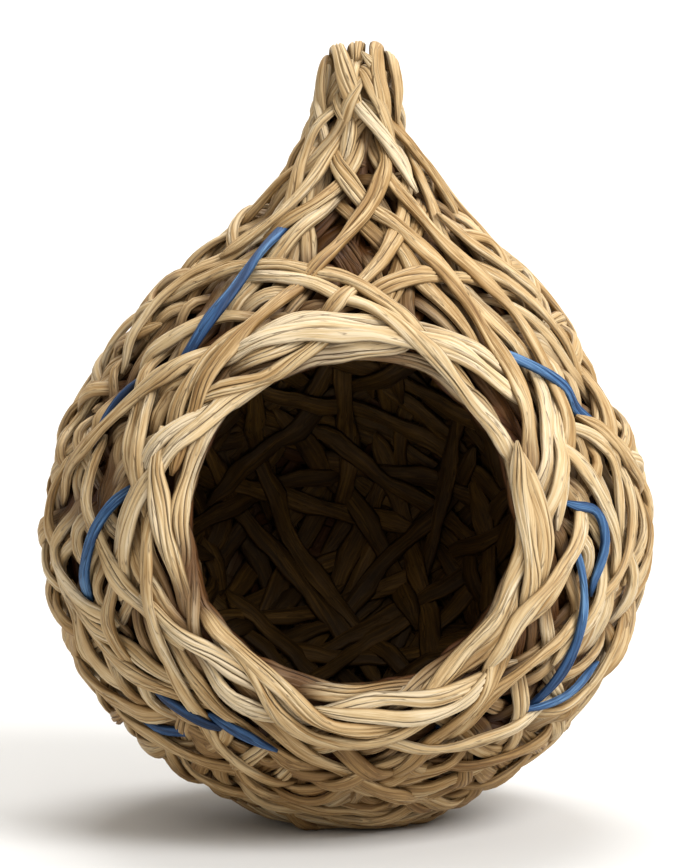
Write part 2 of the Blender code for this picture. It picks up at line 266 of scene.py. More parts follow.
LEFT_ROUTES = [
    (0, (-37, 109), (-53, 98), (-67, 84), (-73, 78)),
    (0, (-50, 99), (-45, 87), (-43, 81)),
    (1, (-48, 87), (-53, 82), (-56, 77)),
    (0, (-61, 84), (-60, 76), (-52, 67), (-48, 61), (-38, 51)),
    (1, (-57, 89), (-56, 82), (-57, 80)),
    (1, (-54, 91), (-53, 87), (-53, 84)),
    (1, (-68, 98), (-66, 92), (-64, 89)),
    (0, (-79, 101), (-85, 90), (-79, 84)),
    (1, (-72, 93), (-71, 89), (-69, 85)),
    (1, (-68, 84), (-69, 76), (-62, 71)),
    (0, (-68, 72), (-73, 64), (-71, 60), (-57, 51)),
    (0, (-75, 77), (-79, 69), (-75, 65)),
    (1, (-61, 74), (-64, 70), (-64, 66), (-60, 60)),
    (0, (-48, 62), (-52, 52), (-51, 44)),
    (1, (-55, 61), (-57, 57), (-53, 51)),
    (1, (-47, 56), (-47, 52), (-45, 43)),
    (1, (-42, 48), (-41, 44), (-38, 39)),
    (0, (-62, 52), (-60, 49), (-50, 44), (-33, 36)),
    (0, (-62, 50), (-51, 40), (-35, 33)),
    (1, (-75, 53), (-69, 42), (-70, 33)),
    (1, (-67, 49), (-63, 36), (-55, 31)),
    (1, (-60, 43), (-57, 35), (-51, 29)),
    (1, (-54, 39), (-51, 32), (-49, 29)),
    (1, (-50, 36), (-48, 29), (-45, 26)),
    (0, (-72, 33), (-59, 28), (-53, 27)),
    (0, (-64, 27), (-53, 22), (-27, 14)),
    (1, (-45, 25), (-38, 23), (-31, 20)),
    (1, (-45, 30), (-41, 27), (-33, 25)),
    (1, (-70, 31), (-78, 20), (-67, 19)),
    (1, (-70, 19), (-51, 15), (-35, 11)),
    (0, (-56, 133), (-73, 118), (-72, 110)),
    (0, (-92, 138), (-81, 135), (-72, 133)),
    (0, (-92, 132), (-87, 127), (-78, 125)),
    (0, (-77, 124), (-92, 120), (-79, 115)),
    (1, (-46, 134), (-55, 129), (-62, 124)),
    (0, (-74, 113), (-91, 106), (-80, 99)),
    (1, (-76, 108), (-73, 104), (-70, 100)),
]
RIGHT_ROUTES = [
    (0, (51, 101), (45, 88), (40, 79)),
    (0, (54, 99), (49, 90), (41, 75)),
    (0, (48, 88), (56, 76), (62, 60)),
    (1, (47, 85), (54, 77), (56, 74)),
    (0, (56, 94), (64, 89), (66, 86), (66, 76)),
    (0, (65, 90), (74, 82), (81, 77)),
    (1, (61, 89), (62, 86), (55, 78)),
    (1, (61, 81), (63, 74), (62, 70)),
    (0, (71, 81), (70, 71), (61, 57)),
    (0, (78, 78), (78, 67), (73, 61)),
    (1, (55, 95), (57, 92), (55, 84)),
    (1, (51, 91), (52, 88), (54, 84)),
    (1, (46, 81), (47, 78), (48, 74)),
    (1, (50, 68), (53, 66), (54, 62), (53, 58)),
    (1, (68, 64), (70, 57), (72, 46)),
    (1, (63, 60), (61, 49), (61, 43)),
    (1, (58, 50), (57, 42), (55, 39)),
    (0, (73, 41), (68, 32), (54, 29)),
    (1, (66, 30), (70, 25), (58, 21)),
    (0, (62, 22), (42, 18), (29, 16)),
    (1, (56, 29), (49, 23), (45, 20)),
    (1, (60, 19), (40, 13), (18, 13)),
    (0, (55, 133), (70, 124), (80, 118)),
    (0, (67, 133), (79, 131), (72, 126)),
    (0, (74, 127), (92, 125), (79, 119)),
    (0, (57, 125), (68, 116), (75, 103)),
    (0, (91, 117), (91, 114), (77, 105)),
    (1, (58, 113), (68, 107), (72, 103)),
    (1, (38, 122), (44, 116), (51, 109)),
    (1, (60, 109), (58, 101), (57, 97)),
    (1, (68, 105), (65, 98), (64, 94)),
    (0, (75, 103), (72, 95), (70, 89)),
    (0, (90, 103), (90, 94), (75, 85)),
]
BELLY_ROUTES = [
    (1, (-34, 46), (-19, 23), (-4, 13)),
    (2, (45, 76), (46, 73), (48, 68)),
    (1, (47, 83), (54, 74), (61, 63)),
    (0, (51, 75), (47, 67), (33, 55), (30, 48)),
    (1, (46, 64), (37, 54), (30, 46)),
    (0, (58, 59), (55, 53), (51, 47)),
    (0, (14, 16), (29, 37), (32, 46)),
    (0, (50, 49), (32, 37), (25, 24)),
    (0, (48, 30), (40, 26), (17, 24), (2, 28)),
    (1, (-14, 25), (-10, 22), (1, 25)),
    (1, (-27, 20), (-23, 17), (-13, 19)),
    (1, (-6, 20), (4, 20), (11, 23)),
    (1, (1, 15), (14, 20), (17, 23)),
    (1, (7, 15), (16, 16), (27, 22)),
    (1, (55, 36), (65, 41), (72, 46)),
    (0, (-27, 11), (-6, 10), (11, 14)),
    (1, (-19, 8), (-5, 6), (9, 7), (18, 10)),
    (0, (-4, 13), (18, 10), (44, 15)),
    (0, (-1, 5), (30, 6), (50, 11)),
    (0, (-45, 10), (-39, 7), (0, 4)),
    (1, (19, 17), (26, 18), (30, 22)),
    (1, (-53, 15), (-39, 10), (-28, 9)),
]
NECK_ROUTES = [
    (0, (-9, 164), (35, 153), (42, 144)),
    (0, (-35, 162), (-58, 155), (-45, 141), (-41, 136)),
    (0, (-17, 159), (-40, 139), (-57, 129)),
    (0, (-13, 161), (-8, 158), (-16, 150)),
    (1, (52, 157), (53, 151), (44, 144)),
    (0, (6, 170), (42, 165), (65, 160)),
    (0, (-8, 169), (-17, 162), (-26, 160)),
    (1, (55, 168), (59, 164), (57, 157)),
    (1, (43, 162), (36, 159), (35, 151)),
    (1, (17, 168), (14, 164), (3, 158)),
    (0, (-75, 168), (-84, 155), (-91, 146)),
    (0, (-61, 151), (-78, 141), (-85, 136)),
    (1, (-53, 149), (-54, 141), (-56, 133)),
    (1, (72, 160), (75, 152), (91, 133)),
    (1, (-51, 160), (-68, 148), (-69, 143)),
    (2, (-80, 166), (-79, 150), (-72, 138)),
    (2, (-64, 166), (-80, 150), (-98, 138)),
]
DYED_ROUTES = [
    (0, (-41, 137), (-38, 122), (-45, 107)),
    (0, (-57, 104), (-61, 94), (-62, 91)),
    (1, (-47, 82), (-55, 68), (-60, 54)),
    (0, (43, 109), (48, 106), (58, 99), (67, 89)),
    (0, (49, 64), (50, 45), (47, 31)),
    (0, (49, 76), (53, 76), (56, 66), (55, 59)),
    (0, (62, 37), (54, 33), (47, 31)),
    (0, (-44, 33), (-39, 32), (-33, 28)),
    (0, (-56, 25), (-44, 23)),
    (0, (-30, 29), (-25, 28), (-20, 25)),
    (1, (26, 27), (35, 30)),
    (0, (181, 30), (195, 47), (210, 66)),
    (0, (154, 60), (139, 79), (122, 97)),
]
# Rings of the rim's inner face: depth, start and length in degrees, distance off the axis.
RIM_RINGS = [
    (2.6, -40, 170, 38.5), (3.0, 150, 160, 38.8), (4.4, 60, 190, 40.0),
    (4.8, 250, 180, 40.2), (6.2, -10, 200, 41.2), (6.6, 200, 180, 41.5),
    (8.0, 100, 210, 42.5), (8.4, 300, 180, 42.8),
]
# Strands that fold over the crown, from the axis of the neck: x, y, z.  They were chosen
# by hand, then lowered and drawn in a little by a separate script.
CROWN_LOOPS = [
    [(0.6, -6.6, 155), (-0.7, -8.4, 161.5), (-3.1, -8, 167.8), (-4.4, -4.8, 172.2),
     (-4.8, -0.5, 173.1), (-4.8, 4.5, 170.3), (-4.2, 7.5, 165), (-4, 8.7, 157)],
    [(-1.4, -6.4, 155.5), (-1.6, -8.2, 162), (-1.5, -7.2, 167.1), (-0.9, -3.8, 169.9),
     (-0.6, 1, 170.5), (-0.6, 5.5, 167.5), (-0.8, 8.6, 160)],
    [(-0.4, -5.6, 167.1), (-0.3, -4.2, 171.3), (-0.2, -0.6, 173.6), (-0.2, 4, 170.7),
     (0, 7.5, 165)],
    [(-0.8, -2.6, 168.2), (1.6, -7.2, 168), (4, -8.4, 163), (6.3, -8.7, 157),
     (8, -7.6, 151.5)],
    [(6.5, -6.8, 156), (5.4, -8.3, 162), (4.1, -7.8, 167.8), (4, -4.8, 172.2),
     (4.4, -0.5, 173.2), (4.8, 4.5, 170.3), (4.9, 7.5, 165), (5.1, 8.9, 157)],
    [(8.6, -4.6, 156), (8.7, -5.8, 164), (8, -4.2, 168.3), (7.6, 0, 170.4),
     (7.4, 4.4, 168.1), (7.2, 7.3, 162)],
    [(-7.2, -3.6, 156), (-8.3, -4.2, 164), (-7.8, -1.8, 168.7), (-7.2, 1.8, 169.5),
     (-6.6, 5.4, 167.3), (-6.3, 7.3, 160)],
    [(8.6, -2.4, 157), (9.1, -2.4, 164.4), (8.4, 0.8, 167.7), (7.6, 4.6, 166.9),
     (8, 6.9, 160)],
]


def smooth_line(values, rounds):
    """Each value moved towards the mean of its neighbours, ends kept."""
    values = values.copy()
    for _ in range(rounds):
        values[1:-1] += 0.5 * ((values[:-2] + values[2:]) / 2 - values[1:-1])
    return values


def through(route):
    """A taut strand through its points: Catmull-Rom at steps of one stretch, then eased."""
    level = route[0]
    spots = np.array(route[1:], float)
    angle = np.radians(spots[:, 0])
    way = way_of_height(spots[:, 1])
    if len(spots) == 2:
        angle = np.linspace(angle[0], angle[1], 3)
        way = np.linspace(way[0], way[1], 3)
    flat, _ = skin(angle, way, 0 * angle)
    chord = np.linalg.norm(np.diff(flat, axis=0), axis=1)
    knots = np.concatenate([[0.0], np.cumsum(np.maximum(chord, 0.5))])
    at = np.linspace(0, knots[-1], max(4, int(round(knots[-1] / STEP)) + 1))
    i = np.clip(np.searchsorted(knots, at, side="right") - 1, 0, len(knots) - 2)
    gap = knots[i + 1] - knots[i]
    t = (at - knots[i]) / gap
    lines = []
    for values in (angle, way):
        slope = np.gradient(values, knots)
        lines.append(smooth_line(
            values[i] * (1 + 2 * t) * (1 - t) ** 2 + slope[i] * gap * t * (1 - t) ** 2
            + values[i + 1] * t * t * (3 - 2 * t) + slope[i + 1] * gap * t * t * (t - 1),
            8,
        ))
    return level, lines[0], lines[1]


def longer(angle, way, extra):
    """The same strand carried on straight for a way beyond both its ends."""
    beyond = np.arange(1, int(round(extra / STEP)) + 1)
    back = min(3, len(angle) - 1)
    first = ((angle[0] - angle[back]) / back, (way[0] - way[back]) / back)
    last = ((angle[-1] - angle[-1 - back]) / back, (way[-1] - way[-1 - back]) / back)
    angle = np.concatenate([
        angle[0] + first[0] * beyond[::-1], angle, angle[-1] + last[0] * beyond,
    ])
    way = np.concatenate([
        way[0] + first[1] * beyond[::-1], way, way[-1] + last[1] * beyond,
    ])
    return angle, np.clip(way, 1.0, WAY_LENGTH - CROWN_ROOM)


def round_hole(turn, radius):
    """Angle and way of the skin's points at a distance off the entrance axis, by halving."""
    up = np.array([0.0, math.sin(HOLE_TILT), math.cos(HOLE_TILT)])
    across = np.array([1.0, 0.0, 0.0])
    start = HOLE_MIDDLE + (
        (radius * np.cos(turn))[:, None] * across + (radius * np.sin(turn))[:, None] * up
    )
    low = np.full(len(turn), 20.0)
    high = np.full(len(turn), 90.0)
    for _ in range(24):
        middle = (low + high) / 2
        points = start + middle[:, None] * HOLE_AXIS
        reach = np.hypot(points[:, 0] - lean(points[:, 2]), points[:, 1])
        inside = reach < np.interp(points[:, 2], WAY_Z[SIDE_FROM:], WAY_R[SIDE_FROM:])
        low = np.where(inside, middle, low)
        high = np.where(inside, high, middle)
    points = start + low[:, None] * HOLE_AXIS
    angle = np.arctan2(points[:, 0] - lean(points[:, 2]), -points[:, 1])
    return angle, way_of_height(points[:, 2])


# ---------------------------------------------------------------- strands that run free
def run_free(angle, way, heading, steps, wander, hole):
    """Strands let go over the skin, which bend only to stay clear of the entrance.

    On a turned surface a taut strand keeps radius * sin(heading), so its heading turns
    by -sin(heading) * slope of the radius / radius.  Close to the entrance the part of
    its heading that points at the hole is held back, and it goes round the rim.
    """
    tracks = []
    delta = 0.5
    for _ in range(steps):
        tracks.append((angle.copy(), way.copy()))
        r = np.maximum(np.interp(way, WAY, WAY_R), 2.0)
        slope = (np.interp(way + 1, WAY, WAY_R) - np.interp(way - 1, WAY, WAY_R)) / 2
        heading = heading - slope / r * np.sin(heading) * STEP + wander * STEP
        off = off_hole(skin(angle, way, 0 * angle)[0])
        round_off = off_hole(skin(angle + delta / r, way, 0 * angle)[0]) - off
        up_off = off_hole(skin(angle, way + delta, 0 * angle)[0]) - off
        away = np.arctan2(round_off, up_off)
        turn = (heading - away + math.pi) % (2 * math.pi) - math.pi
        room = np.clip((off - hole - 3.0) / 20.0, 0.0, 1.0) ** 0.7
        room = np.where(off < hole + 2.0, -0.35, room)
        held = np.sign(turn) * np.arccos(np.clip(np.maximum(np.cos(turn), -room), -1, 1))
        heading = np.where(off < hole + 24.0, away + held, heading)
        angle = angle + np.sin(heading) * STEP / r
        way = np.clip(way + np.cos(heading) * STEP, 3.0, WAY_TOP + 1.0)
    return tracks


class Cover:
    """How much of the skin each patch has covered, on a grid of patches."""

    def __init__(self):
        self.ways = np.arange(3.0, WAY_LENGTH - 12.0, PATCH)
        girth = 2 * math.pi * np.maximum(np.interp(self.ways, WAY, WAY_R), 3.0)
        self.rows = np.maximum(6, np.round(girth / PATCH).astype(int))
        self.start = np.concatenate([[0], np.cumsum(self.rows)])
        self.amount = np.zeros(self.start[-1])
        way_of = np.repeat(self.ways, self.rows)
        place_in = np.arange(self.start[-1]) - np.repeat(self.start[:-1], self.rows)
        self.angle_of = 2 * math.pi * (place_in + 0.5) / np.repeat(self.rows, self.rows)
        self.way_of = way_of
        off = off_hole(skin(self.angle_of, way_of, 0 * way_of)[0])
        self.open = off < HOLE_RADIUS + 4.0
        r = np.maximum(np.interp(way_of, WAY, WAY_R), 3.0)
        self.area = PATCH * 2 * math.pi * r / np.repeat(self.rows, self.rows)

    def add(self, angle, way):
        """Counts one stretch of a strand in the patch below each of its nodes."""
        row = np.clip(np.round((way - 3.0) / PATCH).astype(int), 0, len(self.ways) - 1)
        turn = (angle / (2 * math.pi)) % 1.0
        index = self.start[row] + (turn * self.rows[row]).astype(int) % self.rows[row]
        np.add.at(self.amount, index, STEP * 2 * HALF_WIDTH)

    def barest(self, count, wanted):
        """Patches that lack the most, in a mixed order."""
        need = np.where(self.open, -1.0, wanted - self.amount / self.area)
        need = need * (0.6 + 0.4 * DRAW.random(len(need)))
        return np.argsort(-need)[:count], need.max()


def free_family(cover, wanted, leans, lengths, most, hole=HOLE_RADIUS + 2.0):
    """Strands of one depth, started where the skin is barest until it is covered."""
    strands = []
    while len(strands) < most:
        spots, need = cover.barest(60, wanted)
        if need < 0.45:
            break
        chosen = DRAW.choice(spots, 14, replace=False)
        angle = cover.angle_of[chosen]
        way = cover.way_of[chosen]
        count = len(chosen)
        hands = np.where(DRAW.random(count) < 0.5, 1, -1)
        flatter = 1 - smooth_step((np.interp(way, WAY, WAY_Z) - 6) / 36)
        low, high = leans[0] + 36 * flatter, leans[1] + 24 * flatter
        tilt = np.radians(low + (high - low) * DRAW.random(count)) * hands
        tilt = np.where(way > 150, np.radians(DRAW.uniform(5, 25, count)) * hands, tilt)
        length = DRAW.uniform(*lengths, count) / STEP
        wander = DRAW.normal(0, 0.0025, count)
        steps = int(lengths[1] / STEP / 2) + 1
        ahead = run_free(angle, way, tilt, steps, wander, hole)
        behind = run_free(angle, way, tilt + math.pi, steps, -wander, hole)
        for k in range(count):
            one = int(length[k] * 0.5)
            front = [(a[k], w[k]) for a, w in ahead[:one] if 3.5 < w[k] < WAY_TOP]
            back = [(a[k], w[k]) for a, w in behind[1:one] if 3.5 < w[k] < WAY_TOP]
            track = np.array(back[::-1] + front)
            if len(track) < 8:
                continue
            angle_line = smooth_line(track[:, 0], 10)
            way_line = smooth_line(track[:, 1], 10)
            strands.append((angle_line, way_line))
            cover.add(angle_line, way_line)
    return strands


def front_share(angle, way):
    """1 where the strands of the routes show, round the entrance and above it, else 0."""
    z = np.interp(way, WAY, WAY_Z)
    off = np.abs((np.degrees(angle) + 180) % 360 - 180)
    return (
        smooth_step((86 - off) / 14) * smooth_step((z - 16) / 14)
        * smooth_step((162 - z) / 10)
    )


# ---------------------------------------------------------------- settling the weave
class Weave:
    """Strands laid end to end in flat arrays, with the number of each node's strand."""

    def __init__(self):
        self.parts = []

    def add(self, wish, angle, way, group, width=1.0, swing=0.75, tuck=2.4, firm=1.0):
        """wish: depth wanted; swing: of its wave; tuck: of its ends; firm: keeps its route."""
        count = len(angle)
        along = np.arange(count) * STEP
        wave = DRAW.uniform(20, 32)
        wish = wish + swing * np.sin(2 * math.pi * (along / wave + DRAW.random()))
        wish = wish + tuck * (1 - smooth_step(np.minimum(along, along[::-1]) / 10.0))
        self.parts.append({
            "angle": angle, "way": way, "wish": wish, "along": along,
            "strand": np.full(count, len(self.parts)),
            "half_width": np.full(count, HALF_WIDTH * width * DRAW.uniform(0.86, 1.12)),
            "half_thick": np.full(count, HALF_THICK * width ** 0.5),
            "give": np.full(count, 1.0 - firm), "group": np.full(count, group),
            "tone": np.full(count, DRAW.uniform(0.3, 0.7)),
        })

    def close(self):
        """Joins all strands; they slim towards the crown, with painted shade towards the base
        and painted light on the rim's and neck's strands.
        """
        for name in self.parts[0]:
            setattr(self, name, np.concatenate([part[name] for part in self.parts]))
        count = len(self.strand)
        places = np.arange(count)
        self.before = np.maximum(places - 1, 0)
        self.after = np.minimum(places + 1, count - 1)
        self.before = np.where(self.strand[self.before] == self.strand, self.before, places)
        self.after = np.where(self.strand[self.after] == self.strand, self.after, places)
        self.depth = self.wish.copy()
        self.angle0 = self.angle.copy()
        self.way0 = self.way.copy()
        z = np.interp(self.way, WAY, WAY_Z)
        slim = 0.86 + 0.14 * smooth_step((165 - z) / 45)
        self.half_width = self.half_width * slim
        self.half_thick = self.half_thick * (0.5 + 0.5 * slim)
        # Painted shade, darker towards the base and a little lighter above, and painted light
        # on the rim's and neck's strands, added to each strand's random colour value.
        self.tone = self.tone + 0.26 * smooth_step((z - 8) / 32) - 0.19
        self.tone = self.tone + np.where(np.isin(self.group, ("rim", "neck")), 0.15, 0.0)

    def eased(self, values, share, rounds=1):
        """Values moved by a share towards the mean of their neighbours on the strand."""
        for _ in range(rounds):
            middle = (values[self.before] + values[self.after]) / 2
            values = values + share * (middle - values)
        return values

    def frames(self):
        """Every node's point, outward direction and direction along its strand."""
        points, normal = place(self.angle, self.way, self.depth)
        along = points[self.after] - points[self.before]
        along /= np.maximum(np.linalg.norm(along, axis=1), 1e-9)[:, None]
        return points, normal, along

    def shift(self, step, rounds):
        """Moves nodes over the skin by 3-D steps, then eases their way off the route."""
        r = np.maximum(np.interp(self.way, WAY, WAY_R), 3.0)
        out = np.interp(self.way, WAY, WAY_OUT)
        up = np.interp(self.way, WAY, WAY_UP)
        sine, cosine = np.sin(self.angle), np.cos(self.angle)
        round_step = step[:, 0] * cosine + step[:, 1] * sine
        up_step = out * step[:, 2] + up * (step[:, 1] * cosine - step[:, 0] * sine)
        d_angle = self.eased(self.angle + round_step / r - self.angle0, 0.5, rounds)
        d_way = self.eased(self.way + up_step - self.way0, 0.5, rounds)
        self.angle = self.angle0 + d_angle
        self.way = np.clip(self.way0 + d_way, 1.0, WAY_LENGTH - CROWN_ROOM)


def close_pairs(points, strand, reach):
    """Pairs of nodes of different strands within reach, found by sorting into cells."""
    cell = np.floor(points / reach).astype(np.int64) + 100
    key = (cell[:, 0] * 1000 + cell[:, 1]) * 1000 + cell[:, 2]
    order = np.argsort(key, kind="stable")
    ranked = key[order]
    firsts = []
    seconds = []
    for number in range(13, 27):
        dx, dy, dz = number // 9 - 1, number // 3 % 3 - 1, number % 3 - 1
        shift = (dx * 1000 + dy) * 1000 + dz
        low = np.searchsorted(ranked, key + shift, "left")
        high = np.searchsorted(ranked, key + shift, "right")
        amount = high - low
        first = np.repeat(np.arange(len(key)), amount)
        inside = np.arange(amount.sum()) - np.repeat(np.cumsum(amount) - amount, amount)
        second = order[np.repeat(low, amount) + inside]
        keep = strand[first] != strand[second]
        if shift == 0:
            keep &= first < second
        first, second = first[keep], second[keep]
        near = ((points[first] - points[second]) ** 2).sum(axis=1) < reach * reach
        firsts.append(first[near])
        seconds.append(second[near])
    return np.concatenate(firsts), np.concatenate(seconds)


def spread_sideways(weave, rounds):
    """Strands that run alongside each other push apart until they lie side by side.

    Each pair of near nodes that point the same way moves by half of what lacks from
    0.95 of both half widths together.
    """
    for number in range(rounds):
        flat, normal = skin(weave.angle, weave.way, 0 * weave.angle)
        along = flat[weave.after] - flat[weave.before]
        along /= np.maximum(np.linalg.norm(along, axis=1), 1e-9)[:, None]
        if number % 10 == 0:
            first, second = close_pairs(flat, weave.strand, SPREAD_REACH)
            same = np.abs(weave.wish[first] - weave.wish[second]) < 1.6
            first, second = first[same], second[same]
        apart = flat[first] - flat[second]
        match = (along[first] * along[second]).sum(axis=1)
        side = np.cross(normal[first], along[first] + np.sign(match)[:, None] * along[second])
        side /= np.maximum(np.linalg.norm(side, axis=1), 1e-9)[:, None]
        lateral = (apart * side).sum(axis=1)
        length = np.abs((apart * along[first]).sum(axis=1))
        wanted = 0.95 * (weave.half_width[first] + weave.half_width[second])
        lack = np.maximum(wanted - np.abs(lateral), 0)
        lack *= np.clip((np.abs(match) - 0.8) / 0.18, 0, 1) * (length < 0.8 * STEP)
        push = (np.where(lateral >= 0, 1, -1) * lack * 0.5)[:, None] * side
        total = np.zeros_like(flat)
        for axis in range(3):
            total[:, axis] += np.bincount(first, push[:, axis], len(flat))
            total[:, axis] -= np.bincount(second, push[:, axis], len(flat))
        size = np.linalg.norm(total, axis=1)
        total *= np.minimum(1.0, 0.9 / np.maximum(size, 1e-9))[:, None]
        weave.shift(total * weave.give[:, None], 4)


def keep_clear(weave, rounds):
    """Nodes that hang into the entrance, at the depth they lie, are eased out of it.

    The edge that they keep to is a circle with two sines of its turn added.
    """
    for _ in range(rounds):
        points, _ = place(weave.angle, weave.way, weave.depth)
        off = off_hole(points)
        arm = points - HOLE_MIDDLE
        turn = np.arctan2(arm[:, 2], arm[:, 0])
        wavy = 0.45 * np.sin(11 * turn + 1.0) + 0.4 * np.sin(5 * turn + 2.0)
        lack = HOLE_RADIUS + wavy + 0.7 * weave.half_width - off
        lack = np.where(off < 100, np.clip(lack, 0.0, 3.0), 0.0)
        arm = arm - (arm @ HOLE_AXIS)[:, None] * HOLE_AXIS
        arm /= np.maximum(np.linalg.norm(arm, axis=1), 1e-6)[:, None]
        weave.shift(arm * (lack * 1.1)[:, None], 1)


def settle_depths(weave, rounds=150, floor=-0.1):
    """Over and under: at each crossing the strand that wishes to lie higher stays above.

    Two strands must be apart by the height of both sections where they cross, which
    falls off as the root of 1 - (distance / width)^2 to their edges.  The lack is
    shared by both, then every strand is eased like a springy strip.
    """
    points, normal, along = weave.frames()
    flat, _ = skin(weave.angle, weave.way, 0 * weave.angle)
    first, second = close_pairs(flat, weave.strand, CROSS_REACH)
    apart = flat[first] - flat[second]
    apart -= (apart * normal[first]).sum(axis=1)[:, None] * normal[first]
    match = np.abs((along[first] * along[second]).sum(axis=1))
    run_first = (apart * along[first]).sum(axis=1)
    run_second = (apart * along[second]).sum(axis=1)
    squared = (apart ** 2).sum(axis=1)
    off_first = np.sqrt(np.maximum(squared - run_first ** 2, 0))
    off_second = np.sqrt(np.maximum(squared - run_second ** 2, 0))
    wide = 1 + match
    rise_first = 1 - (off_first / (weave.half_width[first] * wide)) ** 2
    rise_second = 1 - (off_second / (weave.half_width[second] * wide)) ** 2
    meet = np.minimum(np.abs(run_first), np.abs(run_second)) < 0.8 * STEP
    meet &= (rise_first > 0) & (rise_second > 0)
    first, second, squared = first[meet], second[meet], squared[meet]
    needed = weave.half_thick[first] * np.sqrt(rise_first[meet])
    needed = needed + weave.half_thick[second] * np.sqrt(rise_second[meet])

    swap = weave.strand[first] > weave.strand[second]
    first, second = np.where(swap, second, first), np.where(swap, first, second)
    order = np.lexsort((first, weave.strand[second], weave.strand[first]))
    first, second, squared, needed = first[order], second[order], squared[order], needed[order]
    new = np.ones(len(first), bool)
    new[1:] = weave.strand[first[1:]] != weave.strand[first[:-1]]
    new[1:] |= weave.strand[second[1:]] != weave.strand[second[:-1]]
    new[1:] |= first[1:] - first[:-1] > 4
    crossing = np.cumsum(new) - 1
    vote = (weave.wish[second] - weave.wish[first]) / (0.5 + squared)
    first_over = np.bincount(crossing, vote)[crossing] > 0
    upper = np.where(first_over, first, second)
    lower = np.where(first_over, second, first)

    depth = weave.depth.copy()
    count = len(depth)
    lowest = np.minimum(floor, weave.wish)
    for number in range(rounds):
        lack = np.maximum(needed - (depth[lower] - depth[upper]), 0)
        active = (lack > 0.01).astype(float)
        down = np.bincount(lower, lack * 0.55, count)
        rise = np.bincount(upper, lack * 0.45, count)
        times = np.bincount(lower, active, count) + np.bincount(upper, active, count)
        depth = depth + 1.5 * (down - rise) / np.maximum(times, 1)
        depth = weave.eased(depth, 0.4, 2 if number < rounds * 0.6 else 1)
        depth = depth + 0.03 * (weave.wish - depth)
        depth = np.maximum(depth, lowest)
    weave.depth = weave.eased(depth, 0.5, 2)


# ---------------------------------------------------------------- from routes to meshes
class Strands:
    """What the mesh needs of a number of strands: one row for every node."""

    def __init__(self, points, normal, strand, along, half_width, half_thick, tone, depth_shade):
        count = len(strand)
        places = np.arange(count)
        self.same_next = np.zeros(count, bool)
        self.same_next[:-1] = strand[1:] == strand[:-1]
        self.start = np.concatenate([[True], ~self.same_next[:-1]])
        self.stop = ~self.same_next
        before = np.where(self.start, places, places - 1)
        after = np.where(self.stop, places, places + 1)
        run = points[after] - points[before]
        self.run = run / np.maximum(np.linalg.norm(run, axis=1), 1e-9)[:, None]
        first_of = np.maximum.accumulate(np.where(self.start, places, 0))
        last_of = np.minimum.accumulate(np.where(self.stop, places, count - 1)[::-1])[::-1]
        self.end = np.minimum(along - along[first_of], along[last_of] - along)
        self.points = points
        self.normal = normal
        self.strand = np.cumsum(self.start) - 1
        self.along = along
        self.half_width = half_width
        self.half_thick = half_thick
        self.tone = tone
        self.depth_shade = depth_shade


def strands_of(weave, mask, every=1):
    """The chosen strands of a weave, with only every so many of their nodes."""
    points, normal, _ = weave.frames()
    number = np.round(weave.along / STEP)
    last = weave.after == np.arange(len(weave.after))
    mask = mask & ((number % every == 0) | last)
    # Painted shade for strands that lie under others: none down to 1.3 mm below the outside,
    # full from 5.5 mm.
    depth_shade = smooth_step((weave.depth - 1.3) / 4.2)
    return Strands(
        points[mask], normal[mask], weave.strand[mask], weave.along[mask],
        weave.half_width[mask], weave.half_thick[mask], weave.tone[mask], depth_shade[mask],
    )


def strands_through(paths, core, half_width, half_thick, depth_shade):
    """Strands through free points in space; their flat side faces away from the core.

    Between two points each runs as a cubic whose slopes are those of its neighbours.
    """
    lines = []
    for spots in paths:
        spots = np.array(spots, float)
        knots = np.concatenate([
            [0.0], np.cumsum(np.linalg.norm(np.diff(spots, axis=0), axis=1)),
        ])
        at = np.linspace(0, knots[-1], int(round(knots[-1] / STEP * 1.6)) + 1)
        slope = np.gradient(spots, knots, axis=0)
        i = np.clip(np.searchsorted(knots, at, side="right") - 1, 0, len(knots) - 2)
        gap = (knots[i + 1] - knots[i])[:, None]
        t = (at - knots[i])[:, None] / gap
        lines.append(
            spots[i] * (1 + 2 * t) * (1 - t) ** 2 + slope[i] * gap * t * (1 - t) ** 2
            + spots[i + 1] * t * t * (3 - 2 * t) + slope[i + 1] * gap * t * t * (t - 1)
        )
    points = np.concatenate(lines)
    strand = np.repeat(np.arange(len(lines)), [len(line) for line in lines])
    along = np.concatenate([np.arange(len(line)) * STEP / 1.6 for line in lines])
    normal = points - core(points)
    normal /= np.linalg.norm(normal, axis=1)[:, None]
    count = len(points)
    tone = DRAW.uniform(0.35, 0.7, len(lines))[strand]
    return Strands(
        points, normal, strand, along, np.full(count, half_width),
        np.full(count, half_thick), tone, np.full(count, depth_shade),
    )


def ripple(strand, along, lengths, amounts, salt):
    """Smooth irregularity along each strand: sines of given lengths, phases by strand."""
    phases = np.random.default_rng(salt).random((strand.max() + 1, len(lengths)))
    total = 0.0
    for column, (length, amount) in enumerate(zip(lengths, amounts)):
        turn = along / length + phases[strand, column]
        total = total + amount * np.sin(2 * math.pi * turn)
    return total


